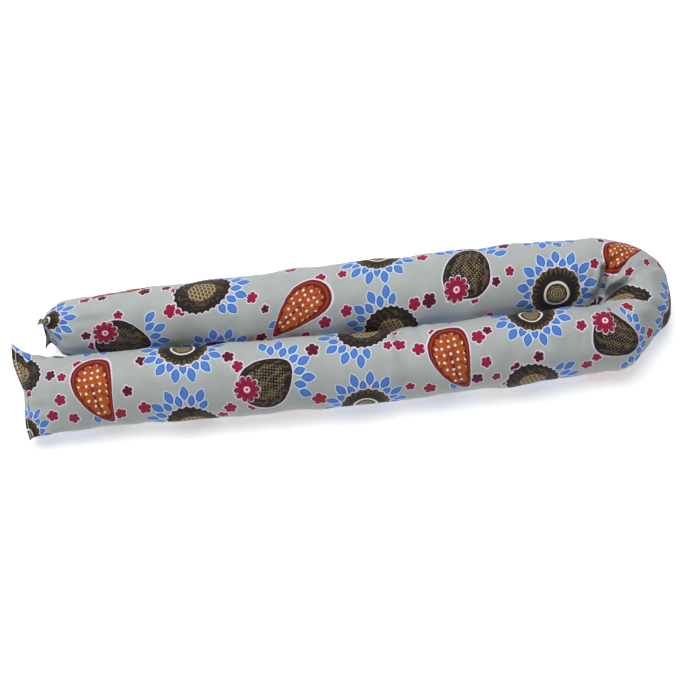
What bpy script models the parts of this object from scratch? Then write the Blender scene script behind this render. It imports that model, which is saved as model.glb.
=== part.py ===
"""Draught excluder: a cotton tube, stuffed soft and sewn flat at both ends, folded in half on a flat surface.

The cover is one long tube, so it is one solid: two legs that lie side by side, the sharp bend that joins
them, and the two flat sewn ends with their pointed corners.

Sizes are in millimetres and turn into metres where the mesh is made. The legs run along X and the bend is
at +X. The near leg lies at -Y and the far leg at +Y. The surface is z = 0. The sizes are measured from a
corner of the layout, and centred() moves the finished mesh over the origin.
"""

import math
from collections import namedtuple

import bmesh
import bpy
import numpy as np

# Driving sizes of the cover: the lip is the thickness of the sewn seams, and the presses say how far the
# legs are squeezed flat against each other and on the surface.
POINTS_ROUND = 36
LIP = 1.6
LEG_GAP = 0.9
SIDE_PRESS = 2.2
FLOOR_PRESS = 2.0

# The pinch is the inner end of the bend, where the two legs fold onto each other.
PINCH_X = 291.0
PINCH_Y = 7.5
PINCH_RADIUS = 2.6
PINCH_OPENS_OVER = 34.0

# The legs, a row for each place along X: the two outer sides, the line where the legs touch, the heights.
Leg = namedtuple("Leg", "x near_side touch far_side near_high far_high")
LEGS = (
    Leg(x=-300, near_side=-70.8, touch=10.6, far_side=78.5, near_high=74, far_high=71),
    Leg(x=-250, near_side=-70.2, touch=9.4, far_side=82.2, near_high=77, far_high=74),
    Leg(x=-150, near_side=-73.0, touch=5.6, far_side=84.2, near_high=79, far_high=76),
    Leg(x=-40, near_side=-75.4, touch=3.4, far_side=87.6, near_high=79, far_high=75),
    Leg(x=62, near_side=-75.4, touch=1.6, far_side=90.2, near_high=78, far_high=74),
    Leg(x=116, near_side=-73.4, touch=2.4, far_side=91.6, near_high=79, far_high=74),
    Leg(x=170, near_side=-72.4, touch=4.4, far_side=92.4, near_high=79, far_high=74),
    Leg(x=236, near_side=-69.4, touch=6.2, far_side=92.6, near_high=79, far_high=75),
    Leg(x=291, near_side=-66.2, touch=7.5, far_side=91.4, near_high=79, far_high=76),
)

# The bend, a row for each direction from the pinch: 0 degrees is +X, and -90 is the near leg's side.
Turn = namedtuple("Turn", "degrees reach high")
BEND = (
    Turn(degrees=-90, reach=73.7, high=79),
    Turn(degrees=-71, reach=76.2, high=79),
    Turn(degrees=-55, reach=71.0, high=78),
    Turn(degrees=-40, reach=70.0, high=78),
    Turn(degrees=-27, reach=74.2, high=78),
    Turn(degrees=-14, reach=82.4, high=76),
    Turn(degrees=0, reach=83.2, high=75),
    Turn(degrees=12, reach=85.4, high=75),
    Turn(degrees=26, reach=91.2, high=73),
    Turn(degrees=40, reach=88.6, high=74),
    Turn(degrees=60, reach=84.8, high=75),
    Turn(degrees=75, reach=83.2, high=76),
    Turn(degrees=90, reach=83.9, high=76),
)

# The sewn ends, a row for each distance from the seam. Along is the size in the seam's direction and thick
# the size across it. A point of 1 gives an ellipse, and 2 a lens with sharp edges.
End = namedtuple("End", "distance along thick middle_y middle_z point")
NEAR_SEAM_X = -352.0
NEAR_END = (
    End(distance=0, along=116, thick=LIP, middle_y=-18.8, middle_z=27, point=0.8),
    End(distance=5, along=106, thick=19, middle_y=-22.0, middle_z=28, point=1.7),
    End(distance=12, along=98, thick=34, middle_y=-25.5, middle_z=29, point=2.0),
    End(distance=22, along=94, thick=47, middle_y=-27.0, middle_z=31, point=1.8),
    End(distance=36, along=88, thick=60, middle_y=-28.4, middle_z=34, point=1.4),
    End(distance=60, along=84, thick=72, middle_y=-29.4, middle_z=36, point=1.1),
    End(distance=90, along=82, thick=78, middle_y=-29.9, middle_z=37, point=1.0),
)
FAR_SEAM_X = -327.0
FAR_END = (
    End(distance=0, along=70, thick=LIP, middle_y=47.0, middle_z=42, point=0.8),
    End(distance=5, along=58, thick=21, middle_y=48.0, middle_z=41, point=1.6),
    End(distance=12, along=60, thick=38, middle_y=48.5, middle_z=39, point=1.8),
    End(distance=22, along=66, thick=60, middle_y=46.4, middle_z=37, point=1.6),
    End(distance=36, along=69, thick=67, middle_y=45.8, middle_z=36, point=1.3),
    End(distance=60, along=73, thick=71, middle_y=46.0, middle_z=36, point=1.1),
    End(distance=90, along=75, thick=74, middle_y=46.0, middle_z=37, point=1.0),
)

# How the seams run, a row for each place from corner (-1) to corner (1). Push is the shift along X, away
# from the bend where it is negative, and curl the shift square to it: up on the near seam, which lies
# flat, and towards the far side on the far seam, which stands up.
Seam = namedtuple("Seam", "place push curl")
NEAR_SEAM = (
    Seam(place=-1.0, push=-13.0, curl=-2.0),
    Seam(place=-0.6, push=-11.0, curl=1.5),
    Seam(place=-0.3, push=-6.4, curl=1.5),
    Seam(place=0.1, push=0.8, curl=0.0),
    Seam(place=0.7, push=1.8, curl=1.0),
    Seam(place=1.0, push=4.8, curl=-4.0),
)
FAR_SEAM = (
    Seam(place=-1.0, push=-3.6, curl=-12.0),
    Seam(place=-0.5, push=0.5, curl=-4.0),
    Seam(place=0.0, push=1.5, curl=0.0),
    Seam(place=0.5, push=2.5, curl=2.0),
    Seam(place=1.0, push=1.4, curl=-12.0),
)
CORNER_FADE = 26.0
CORNER_FADE_POWER = 1.5

# Creases and troughs on top, a row for each straight run, as places in the plan.
Crease = namedtuple("Crease", "x0 y0 x1 y1 half_wide deep")
CREASES = (
    Crease(x0=291, y0=9, x1=297, y1=31, half_wide=7.0, deep=10.0),
    Crease(x0=297, y0=31, x1=311, y1=44, half_wide=6.5, deep=5.0),
    Crease(x0=319, y0=34, x1=328, y1=50, half_wide=7.0, deep=3.6),
    Crease(x0=298, y0=13, x1=323, y1=22, half_wide=7.0, deep=4.0),
    Crease(x0=266, y0=18, x1=271, y1=46, half_wide=9.0, deep=3.0),
    Crease(x0=278, y0=12, x1=281, y1=24, half_wide=6.0, deep=3.0),
    Crease(x0=338, y0=31, x1=368, y1=38, half_wide=9.0, deep=3.0),
    Crease(x0=340, y0=-12, x1=366, y1=-26, half_wide=6.0, deep=3.0),
    Crease(x0=60, y0=-4, x1=64, y1=-34, half_wide=12.0, deep=4.5),
    Crease(x0=64, y0=-34, x1=64, y1=-68, half_wide=14.0, deep=2.2),
)
# A crease has its full depth above this share of a ring's half height, and fades out to its middle.
CREASE_FULL_ABOVE = 0.5

# Where the rings stand: a row for each stretch of a leg, and the step from ring to ring in it.
Stretch = namedtuple("Stretch", "until step")
NEAR_STEPS = (
    Stretch(until=24, step=4.0),
    Stretch(until=60, step=7.0),
    Stretch(until=370, step=20.0),
    Stretch(until=460, step=9.0),
    Stretch(until=590, step=20.0),
    Stretch(until=643, step=8.0),
)
FAR_STEPS = (
    Stretch(until=24, step=4.0),
    Stretch(until=60, step=7.0),
    Stretch(until=560, step=20.0),
    Stretch(until=618, step=7.0),
)
BEND_STEP_DEGREES = 4.0

# A ring of the tube: its middle, the way it faces outward, and its half sizes.
Ring = namedtuple("Ring", "x y facing half_wide half_high middle_z inner_limit flat_seam upright_seam corner")


def between(rows, key, field, at):
    """The smooth curve through one column of a table, which never passes beyond its rows."""
    x = np.array([getattr(row, key) for row in rows], float)
    y = np.array([getattr(row, field) for row in rows], float)
    steps = np.diff(x)
    slopes = np.diff(y) / steps
    tangents = np.zeros(len(x))
    for i in range(1, len(x) - 1):
        if slopes[i - 1] * slopes[i] > 0:
            tangents[i] = 2 / (1 / slopes[i - 1] + 1 / slopes[i])
    tangents[0] = slopes[0]
    tangents[-1] = slopes[-1]
    at = min(max(at, x[0]), x[-1])
    i = min(int(np.searchsorted(x, at, side="right")) - 1, len(steps) - 1)
    t = (at - x[i]) / steps[i]
    start = (1 + 2 * t) * (1 - t) ** 2 * y[i] + t * (1 - t) ** 2 * steps[i] * tangents[i]
    end = t**2 * (3 - 2 * t) * y[i + 1] + t**2 * (t - 1) * steps[i] * tangents[i + 1]
    return float(start + end)


def eased(t):
    """A smooth step from 0 to 1."""
    t = min(max(t, 0.0), 1.0)
    return t * t * (3 - 2 * t)


def places(stretches):
    """Distances from the seam at which the rings of a leg stand."""
    found = [0.0]
    for stretch in stretches:
        start = found[-1]
        count = max(1, round((stretch.until - start) / stretch.step))
        found += [start + (stretch.until - start) * (k + 1) / count for k in range(count)]
    return found


def leg_ring(x, near):
    """A ring of a leg's even stretch, with its inner side pressed on the other leg."""
    touch = between(LEGS, "x", "touch", x)
    side = between(LEGS, "x", "near_side" if near else "far_side", x)
    high = between(LEGS, "x", "near_high" if near else "far_high", x)
    gap = LEG_GAP / 2
    opening = eased((x - PINCH_X + PINCH_OPENS_OVER) / PINCH_OPENS_OVER)
    gap += (PINCH_RADIUS - gap) * opening
    wide = abs(side - touch) - gap
    press = SIDE_PRESS * (1 - opening)
    half = (wide + press) / 2
    away = -1 if near else 1
    return Ring(
        x=x,
        y=touch + away * (gap - press + half),
        facing=math.radians(90 * away),
        half_wide=half,
        half_high=(high + FLOOR_PRESS) / 2,
        middle_z=(high - FLOOR_PRESS) / 2,
        inner_limit=press - half,
        flat_seam=1.0,
        upright_seam=1.0,
        corner=0.0,
    )


def end_ring(distance, near):
    """A ring near a sewn end. It grows out of the seam and joins the leg's even stretch."""
    rows = NEAR_END if near else FAR_END
    x = (NEAR_SEAM_X if near else FAR_SEAM_X) + distance
    reach = rows[-1].distance
    leg = leg_ring(x, near)
    if distance >= reach:
        return leg
    along = between(rows, "distance", "along", distance) / 2
    thick = between(rows, "distance", "thick", distance) / 2
    point = between(rows, "distance", "point", distance)
    join = eased((distance - reach / 2) / (reach / 2))
    wide, high = (along, thick) if near else (thick, along)
    y = between(rows, "distance", "middle_y", distance)
    middle_z = between(rows, "distance", "middle_z", distance)
    return leg._replace(
        y=y + (leg.y - y) * join,
        half_wide=wide + (leg.half_wide - wide) * join,
        half_high=high + (leg.half_high - high) * join,
        middle_z=middle_z + (leg.middle_z - middle_z) * join,
        inner_limit=leg.inner_limit - (1 - join) * leg.half_wide,
        flat_seam=point if near else 1.0,
        upright_seam=1.0 if near else point,
        corner=max(0.0, 1 - distance / CORNER_FADE) ** CORNER_FADE_POWER,
    )


def bend_ring(degrees):
    """A ring of the bend, which stands on the pinch and faces outward."""
    reach = between(BEND, "degrees", "reach", degrees)
    high = between(BEND, "degrees", "high", degrees)
    facing = math.radians(degrees)
    middle = (reach + PINCH_RADIUS) / 2
    half = (reach - PINCH_RADIUS) / 2
    return Ring(
        x=PINCH_X + middle * math.cos(facing),
        y=PINCH_Y + middle * math.sin(facing),
        facing=facing,
        half_wide=half,
        half_high=(high + FLOOR_PRESS) / 2,
        middle_z=(high - FLOOR_PRESS) / 2,
        inner_limit=-half,
        flat_seam=1.0,
        upright_seam=1.0,
        corner=0.0,
    )


def raised(value, power):
    """A power of the size, with the sign kept."""
    return math.copysign(abs(value) ** power, value)


def ring_point(ring, turn, near_end, far_end):
    """One point of a ring. A turn of 0 points outward, and a quarter turn points up."""
    across = ring.half_wide * raised(math.cos(turn), ring.upright_seam)
    up = ring.half_high * raised(math.sin(turn), ring.flat_seam)
    push = 0.0
    if near_end:
        place = across / ring.half_wide
        push = ring.corner * between(NEAR_SEAM, "place", "push", place)
        up += ring.corner * between(NEAR_SEAM, "place", "curl", place)
    elif far_end:
        place = up / ring.half_high
        push = ring.corner * between(FAR_SEAM, "place", "push", place)
        across += ring.corner * between(FAR_SEAM, "place", "curl", place)
    across = max(across, ring.inner_limit)
    out_x = math.cos(ring.facing)
    out_y = math.sin(ring.facing)
    return np.array([ring.x + across * out_x + push, ring.y + across * out_y, max(ring.middle_z + up, 0.0)])


def crease_depth(point):
    """How far the creases on top sink the surface at a place in the plan."""
    depth = 0.0
    for crease in CREASES:
        start = np.array([crease.x0, crease.y0])
        run = np.array([crease.x1, crease.y1]) - start
        share = float(np.clip((point[:2] - start) @ run / (run @ run), 0.0, 1.0))
        away = float(np.linalg.norm(point[:2] - start - share * run)) / crease.half_wide
        depth = max(depth, crease.deep * math.exp(-(away**2)))
    return depth


def sunk(point, ring):
    """The point, pushed towards its ring's middle where a crease runs over the upper side."""
    middle = np.array([ring.x, ring.y, ring.middle_z])
    spoke = point - middle
    length = float(np.linalg.norm(spoke))
    upper = eased(spoke[2] / (CREASE_FULL_ABOVE * ring.half_high))
    depth = crease_depth(point) * upper
    return point - spoke * (depth / length) if length > depth else point


def rings_of_tube():
    """Every ring, from the near seam round the bend to the far seam, with the twist of the cloth at each."""
    near = [end_ring(distance, True) for distance in places(NEAR_STEPS)]
    turns = np.arange(-90.0 + BEND_STEP_DEGREES, 90.0, BEND_STEP_DEGREES)
    bend = [bend_ring(degrees) for degrees in turns]
    far_places = places(FAR_STEPS)
    far = [end_ring(distance, False) for distance in reversed(far_places)]
    # The far seam stands upright where the near seam lies flat, so the cloth turns a quarter on its way.
    twists = [0.0] * (len(near) + len(bend))
    twists += [math.pi / 2 * eased(1 - distance / far_places[-1]) for distance in reversed(far_places)]
    return near + bend + far, twists, len(near), len(near) + len(bend)


def tube_points():
    """The points of every ring, in order round the tube."""
    rings, twists, bend_starts, bend_ends = rings_of_tube()
    grid = []
    for i, ring in enumerate(rings):
        row = []
        for j in range(POINTS_ROUND):
            turn = 2 * math.pi * j / POINTS_ROUND + twists[i]
            row.append(sunk(ring_point(ring, turn, i < bend_starts, i >= bend_ends), ring))
        grid.append(row)
    return np.array(grid)


def centred(points):
    """The layout moved over the origin: the middle of its box in X and Y, its underside at z = 0."""
    low = points.reshape(-1, 3).min(axis=0)
    high = points.reshape(-1, 3).max(axis=0)
    middle = (low + high) / 2
    return points - np.array([middle[0], middle[1], low[2]])


def closed_tube(points):
    """A closed mesh in metres: the rings joined by faces, and each seam's lip closed from side to side."""
    mesh = bmesh.new()
    rows = [[mesh.verts.new(point / 1000) for point in row] for row in points]
    count = POINTS_ROUND
    for a, b in zip(rows, rows[1:]):
        for j in range(count):
            k = (j + 1) % count
            mesh.faces.new((a[j], a[k], b[k], b[j]))
    for row in (rows[0], rows[-1]):
        for j in range(count // 2):
            # At each corner of the seam two of the four are the same point.
            corners = dict.fromkeys((row[j], row[j + 1], row[-j - 1], row[-j]))
            mesh.faces.new(list(corners))
    bmesh.ops.recalc_face_normals(mesh, faces=mesh.faces)
    bmesh.ops.triangulate(mesh, faces=mesh.faces)
    return mesh


def cotton():
    """The printed cotton: its ground colour, with no sheen."""
    material = bpy.data.materials.new("printed_cotton")
    material.use_nodes = True
    shader = material.node_tree.nodes["Principled BSDF"]
    shader.inputs["Base Color"].default_value = (0.46, 0.48, 0.45, 1.0)
    shader.inputs["Roughness"].default_value = 0.85
    shader.inputs["Metallic"].default_value = 0.0
    return material


def clear_scene():
    for item in list(bpy.data.objects):
        bpy.data.objects.remove(item)


def main():
    clear_scene()
    tube = closed_tube(centred(tube_points()))
    data = bpy.data.meshes.new("stuffed_tube")
    tube.to_mesh(data)
    tube.free()
    data.shade_smooth()
    data.materials.append(cotton())
    cover = bpy.data.objects.new("stuffed_tube", data)
    bpy.context.scene.collection.objects.link(cover)


main()
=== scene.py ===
"""Draught excluder, the looks: a printed cotton tube, softly stuffed, sewn shut and folded in half.

The cover is one mesh, made from the same tables as the solid that it replaces, with the finer creases,
gathers and puckers of the cloth. Its UV map holds places on the flat cloth in millimetres, and the print,
the weave and the seam are worked out from it in the material.

Sizes are in millimetres and turn into metres where a mesh is made. The legs run along X and the bend is at
+X. The near leg lies at -Y and the far leg at +Y. The surface is z = 0.
"""

import math
from collections import namedtuple

import bpy
import numpy as np
from mathutils import Matrix, Vector


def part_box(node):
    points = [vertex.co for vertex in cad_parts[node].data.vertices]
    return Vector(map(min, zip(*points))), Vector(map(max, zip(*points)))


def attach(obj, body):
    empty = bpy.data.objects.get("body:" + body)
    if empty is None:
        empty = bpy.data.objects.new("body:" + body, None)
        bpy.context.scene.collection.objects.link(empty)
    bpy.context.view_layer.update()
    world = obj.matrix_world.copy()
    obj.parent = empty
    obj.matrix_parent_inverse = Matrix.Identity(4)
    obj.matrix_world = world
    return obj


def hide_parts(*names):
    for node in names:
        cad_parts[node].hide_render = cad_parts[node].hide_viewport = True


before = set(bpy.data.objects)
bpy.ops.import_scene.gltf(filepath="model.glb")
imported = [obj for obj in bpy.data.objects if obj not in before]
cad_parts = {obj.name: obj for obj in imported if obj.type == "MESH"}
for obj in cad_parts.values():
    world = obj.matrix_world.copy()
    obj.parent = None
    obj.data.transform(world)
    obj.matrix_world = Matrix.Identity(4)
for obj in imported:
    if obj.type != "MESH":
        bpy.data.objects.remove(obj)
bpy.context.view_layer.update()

# The camera stands where the photograph was taken from. It looks at a point over the middle of the legs.
AIM = (-4.9, -7.9, 32.2)
CAMERA_ELEVATION = 68.0
CAMERA_YAW = -6.25
CAMERA_DISTANCE = 1470.0
CAMERA_LENS = 70.0
CAMERA_SENSOR = 36.0

# Driving sizes of the cover. The legs lie a little closer together than in the solid and press less.
LIP = 1.6
LEG_GAP = 0.3
SIDE_PRESS = 0.5
FLOOR_PRESS = 2.0
PINCH_X = 291.0
PINCH_Y = 7.5
PINCH_RADIUS = 2.6
PINCH_OPENS_OVER = 34.0

# How much lower than half way up the filled tube is widest, and from how far off a seam. It leaves a slit
# above the line where the legs touch: how deep it cuts into each leg, how high it lies, how far it reaches up
# and down, and the share of the leg's half width at which it starts.
SAG = 7.5
SAG_FULL_FROM = 90.0
SLIT = 2.0
SLIT_HIGH = 44.0
SLIT_REACH = 9.0
SLIT_SIDE = 0.72

# The cloth: how far it is round the tube, and how finely the mesh follows it.
CLOTH_ROUND = 251.0
POINTS_ROUND = 96
CURVE_STEPS = 720
LEG_STEP = 2.3
FINE_STEP = 1.25
FINE_REACH = 40.0
BEND_STEP_DEGREES = 1.25
CLOTH_MAP = "cloth"

# The legs, a row for each place along X: the two outer sides, the line where the legs touch, the heights.
Leg = namedtuple("Leg", "x near_side touch far_side near_high far_high")
LEGS = (
    Leg(-300, -70.8, 10.6, 78.5, 74, 71),
    Leg(-250, -70.2, 9.4, 82.2, 77, 74),
    Leg(-150, -73.0, 5.6, 84.2, 79, 76),
    Leg(-40, -75.4, 3.4, 87.6, 79, 75),
    Leg(62, -75.4, 1.6, 90.2, 78, 74),
    Leg(116, -73.4, 2.4, 91.6, 79, 74),
    Leg(170, -72.4, 4.4, 92.4, 79, 74),
    Leg(236, -69.4, 6.2, 92.6, 79, 75),
    Leg(291, -66.2, 7.5, 91.4, 79, 76),
)

# The bend, a row for each direction from the pinch: 0 degrees is +X, and -90 is the near leg's side.
Turn = namedtuple("Turn", "degrees reach high")
BEND = (
    Turn(-90, 73.7, 79),
    Turn(-71, 76.2, 79),
    Turn(-55, 71.0, 78),
    Turn(-40, 70.0, 78),
    Turn(-27, 74.2, 78),
    Turn(-14, 82.4, 76),
    Turn(0, 83.2, 75),
    Turn(12, 85.4, 75),
    Turn(26, 91.2, 73),
    Turn(40, 88.6, 74),
    Turn(60, 84.8, 75),
    Turn(75, 83.2, 76),
    Turn(90, 83.9, 76),
)

# The sewn ends, a row for each distance from the seam. Along is the size in the seam's direction and thick
# the size across it. A point of 1 gives an ellipse, and 2 a lens with sharp edges.
End = namedtuple("End", "distance along thick middle_y middle_z point")
NEAR_SEAM_X = -352.0
NEAR_END = (
    End(0, 116, LIP, -18.8, 27, 0.8),
    End(5, 106, 19, -22.0, 28, 1.7),
    End(12, 98, 34, -25.5, 29, 2.0),
    End(22, 94, 47, -27.0, 31, 1.8),
    End(36, 88, 60, -28.4, 34, 1.4),
    End(60, 84, 72, -29.4, 36, 1.1),
    End(90, 82, 78, -29.9, 37, 1.0),
)
FAR_SEAM_X = -327.0
FAR_END = (
    End(0, 70, LIP, 47.0, 42, 0.8),
    End(5, 58, 21, 48.0, 41, 1.6),
    End(12, 60, 38, 48.5, 39, 1.8),
    End(22, 66, 60, 46.4, 37, 1.6),
    End(36, 69, 67, 45.8, 36, 1.3),
    End(60, 73, 71, 46.0, 36, 1.1),
    End(90, 75, 74, 46.0, 37, 1.0),
)

# How the seams run, a row for each place from corner (-1) to corner (1). Push is the shift along X, and curl
# the shift square to it: up on the near seam, which lies flat, and across on the far one, which stands up.
Seam = namedtuple("Seam", "place push curl")
NEAR_SEAM = (
    Seam(place=-1.0, push=-13.0, curl=-2.0),
    Seam(place=-0.6, push=-11.0, curl=1.5),
    Seam(place=-0.3, push=-6.4, curl=1.5),
    Seam(place=0.1, push=0.8, curl=0.0),
    Seam(place=0.7, push=1.8, curl=1.0),
    Seam(place=1.0, push=4.8, curl=-4.0),
)
FAR_SEAM = (
    Seam(place=-1.0, push=-3.6, curl=-12.0),
    Seam(place=-0.5, push=0.5, curl=-4.0),
    Seam(place=0.0, push=1.5, curl=0.0),
    Seam(place=0.5, push=2.5, curl=2.0),
    Seam(place=1.0, push=1.4, curl=-12.0),
)
CORNER_FADE = 26.0
CORNER_FADE_POWER = 1.5

# Folds on top, a row for each place that a fold passes, in the plan. Left and right are how wide the cloth
# rounds off beside it, seen along the fold. A crack of 1 is a tight fold between two round sides, and 0 a
# soft trough.
Fold = namedtuple("Fold", "name x y left right deep crack")
FOLDS = (
    Fold("rise", 291, 8, 9, 8, 18, 0.9),
    Fold("rise", 296, 23, 8, 8, 16, 0.9),
    Fold("rise", 298, 35, 7, 7, 12, 0.9),
    Fold("rise", 310, 45, 6, 6, 7.0, 0.8),
    Fold("rise", 322, 50, 6, 5, 0.6, 0.4),
    Fold("foot", 272, 13, 10, 4, 1.0, 0.2),
    Fold("foot", 282, 13, 9, 5, 4.5, 0.4),
    Fold("foot", 292, 11, 10, 5, 10.0, 0.5),
    Fold("roll", 293, 9, 8, 4.5, 18, 0.9),
    Fold("roll", 303, 15, 8, 4.5, 16, 0.9),
    Fold("roll", 313, 18, 7, 4, 12, 0.9),
    Fold("roll", 323, 21, 6, 4, 8, 0.9),
    Fold("roll", 327, 28, 5, 3.5, 5, 0.8),
    Fold("roll", 327, 37, 4, 3, 1.0, 0.6),
    Fold("pleat", 312, 26, 5, 4, 1.5, 0.5),
    Fold("pleat", 321, 40, 5, 3.5, 6.0, 0.8),
    Fold("pleat", 329, 52, 5, 4, 1.0, 0.6),
    Fold("tuck", 305, 22, 4, 5, 0.6, 0.2),
    Fold("tuck", 311, 33, 5, 5, 2.0, 0.4),
    Fold("tuck", 316, 44, 4, 4, 0.4, 0.2),
    Fold("far leg", 262, 15, 7, 9, 2.0, 0.2),
    Fold("far leg", 269, 30, 8, 11, 4.4, 0.4),
    Fold("far leg", 271, 50, 9, 12, 1.0, 0.1),
    Fold("far leg foot", 276, 13, 5, 6, 3.0, 0.4),
    Fold("far leg foot", 279, 28, 6, 6, 1.0, 0.2),
    Fold("shoulder", 334, 29, 10, 8, 1.0, 0.1),
    Fold("shoulder", 350, 36, 11, 8, 3.4, 0.3),
    Fold("shoulder", 368, 43, 10, 8, 1.4, 0.1),
    Fold("corner", 330, -7, 5, 8, 0.6, 0.3),
    Fold("corner", 346, -13, 6, 10, 3.8, 0.7),
    Fold("corner", 368, -19, 7, 12, 2.4, 0.4),
    Fold("near side", 306, 0, 6, 8, 1.2, 0.2),
    Fold("near side", 330, -30, 12, 14, 2.0, 0.1),
    Fold("near side", 346, -52, 10, 12, 0.8, 0.1),
    Fold("dent", 58, 2, 8, 6, 1.4, 0.5),
    Fold("dent", 61, -16, 12, 8, 4.0, 0.6),
    Fold("dent", 65, -36, 17, 13, 3.6, 0.2),
    Fold("dent", 66, -70, 16, 14, 1.6, 0.1),
    Fold("second dent", 84, -4, 8, 9, 2.0, 0.3),
    Fold("second dent", 88, -30, 12, 12, 0.8, 0.1),
    Fold("ear", -338, 26, 5, 7, 5.0, 0.7),
    Fold("ear", -346, 14, 5, 7, 5.0, 0.7),
    Fold("ear", -353, -2, 5, 6, 1.4, 0.4),
    Fold("edge dent", -326, 24, 6, 6, 3.4, 0.4),
    Fold("edge dent", -322, 6, 7, 8, 1.4, 0.2),
    Fold("second edge dent", -308, 22, 7, 7, 1.6, 0.2),
    Fold("second edge dent", -304, 2, 8, 9, 0.8, 0.1),
)
FOLD_FADE = 0.2
FOLD_SWELL = 0.12
FOLD_OPEN = 0.2
FOLD_ROUND = 0.6

# Puckers of the sewn ends, a row for each set of waves: how many go round the tube, how high they are, how
# far from the seam they stand highest, and where the first one lies.
Pucker = namedtuple("Pucker", "waves_round height peak start")
PUCKERS = (
    Pucker(waves_round=13, height=0.8, peak=13.0, start=7.0),
    Pucker(waves_round=22, height=0.8, peak=8.0, start=2.0),
    Pucker(waves_round=35, height=0.4, peak=5.0, start=5.0),
)

# Unevenness of the filling, a row for each set of waves: how long they are along the cloth, how many go
# round the tube, how high they are, and where the first one lies. None lies within its reach of a seam.
Ripple = namedtuple("Ripple", "along waves_round height start")
RIPPLES = (
    Ripple(along=173, waves_round=1, height=0.5, start=20),
    Ripple(along=97, waves_round=-2, height=0.5, start=61),
    Ripple(along=71, waves_round=3, height=0.4, start=33),
    Ripple(along=53, waves_round=-3, height=0.3, start=14),
    Ripple(along=41, waves_round=5, height=0.2, start=27),
    Ripple(along=29, waves_round=-4, height=0.14, start=9),
    Ripple(along=23, waves_round=7, height=0.1, start=3),
)
RIPPLE_REACH = 30.0

# Where the cloth is folded so tight that puckers and ripples fade: this far round the pinch, and this far
# round the corners of the sewn ends, up to this far from the seam.
TIGHT_ROUND_PINCH = 18.0
TIGHT_ROUND_CORNER = 14.0
TIGHT_FROM_SEAM = 24.0

# How the cloth settles over its filling, in Blender's cloth simulation: on every second ring and point, for
# this many frames, and with no point moved further than the cap. Slack is how much too long the cloth is
# round the inner side of the bend, and drawn how much the stitches draw it in at the seams.
SETTLE_EVERY = 2
SETTLE_FRAMES = 20
SETTLE_CAP = 3.0
SETTLE_QUALITY = 6
SETTLE_MASS = 0.3
SETTLE_BENDING = 0.3
SETTLE_PRESSURE = 3.0
SETTLE_SLACK = 0.08
SETTLE_DRAWN = 0.02
SETTLE_HELD_BELOW = 3.0
SETTLE_HELD_ROUND_PINCH = 16.0
SETTLE_FULL_FROM_PINCH = 60.0
SETTLE_HELD_AT_GAP = 2.0

# The hem of each end: it lies flat up to the line of stitches, and the filling starts behind it.
HEM_WIDE = 3.8
HEM_THICK = 2.4
HEM_OPENS = 5.5
STITCH_LONG = 3.6
STITCH_WIDE = 0.75

# How the cloth runs round the bend, a row for each sector between two gathers. A gather of 1 tucks away all
# the cloth that is too long for the inner side of the bend, and 0 only squeezes it.
Sector = namedtuple("Sector", "start end start_gather end_gather")
SECTORS = (
    Sector(start=-90, end=-24, start_gather=0.0, end_gather=0.5),
    Sector(start=-24, end=25, start_gather=0.5, end_gather=1.0),
    Sector(start=25, end=48, start_gather=1.0, end_gather=1.0),
    Sector(start=48, end=74, start_gather=1.0, end_gather=1.0),
    Sector(start=74, end=90, start_gather=1.0, end_gather=0.0),
)
BEND_OUTSIDE = 84.0
GATHER_FULL_WITHIN = 25.0
GATHER_GONE_BEYOND = 58.0

# A ring of the tube: its middle, the way it faces outward, and its half sizes.
Ring = namedtuple("Ring", "x y facing half_wide half_high middle_z inner_limit flat_seam upright_seam corner")


def between(rows, key, field, at):
    """The smooth curve through one column of a table, which never passes beyond its rows."""
    x = np.array([getattr(row, key) for row in rows], float)
    y = np.array([getattr(row, field) for row in rows], float)
    steps = np.diff(x)
    slopes = np.diff(y) / steps
    tangents = np.zeros(len(x))
    for i in range(1, len(x) - 1):
        if slopes[i - 1] * slopes[i] > 0:
            tangents[i] = 2 / (1 / slopes[i - 1] + 1 / slopes[i])
    tangents[0] = slopes[0]
    tangents[-1] = slopes[-1]
    at = np.clip(at, x[0], x[-1])
    i = np.minimum(np.searchsorted(x, at, side="right") - 1, len(steps) - 1)
    t = (at - x[i]) / steps[i]
    start = (1 + 2 * t) * (1 - t) ** 2 * y[i] + t * (1 - t) ** 2 * steps[i] * tangents[i]
    end = t**2 * (3 - 2 * t) * y[i + 1] + t**2 * (t - 1) * steps[i] * tangents[i + 1]
    return start + end


def eased(t):
    """A smooth step from 0 to 1."""
    t = np.clip(t, 0.0, 1.0)
    return t * t * (3 - 2 * t)


def leg_ring(x, near):
    """A ring of a leg's even stretch, with its inner side pressed on the other leg."""
    touch = between(LEGS, "x", "touch", x)
    side = between(LEGS, "x", "near_side" if near else "far_side", x)
    high = between(LEGS, "x", "near_high" if near else "far_high", x)
    gap = LEG_GAP / 2
    opening = eased((x - PINCH_X + PINCH_OPENS_OVER) / PINCH_OPENS_OVER)
    gap += (PINCH_RADIUS - gap) * opening
    wide = abs(side - touch) - gap
    press = SIDE_PRESS * (1 - opening)
    half = (wide + press) / 2
    away = -1 if near else 1
    return Ring(
        x=x,
        y=touch + away * (gap - press + half),
        facing=math.radians(90 * away),
        half_wide=half,
        half_high=(high + FLOOR_PRESS) / 2,
        middle_z=(high - FLOOR_PRESS) / 2,
        inner_limit=press - half,
        flat_seam=1.0,
        upright_seam=1.0,
        corner=0.0,
    )


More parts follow.
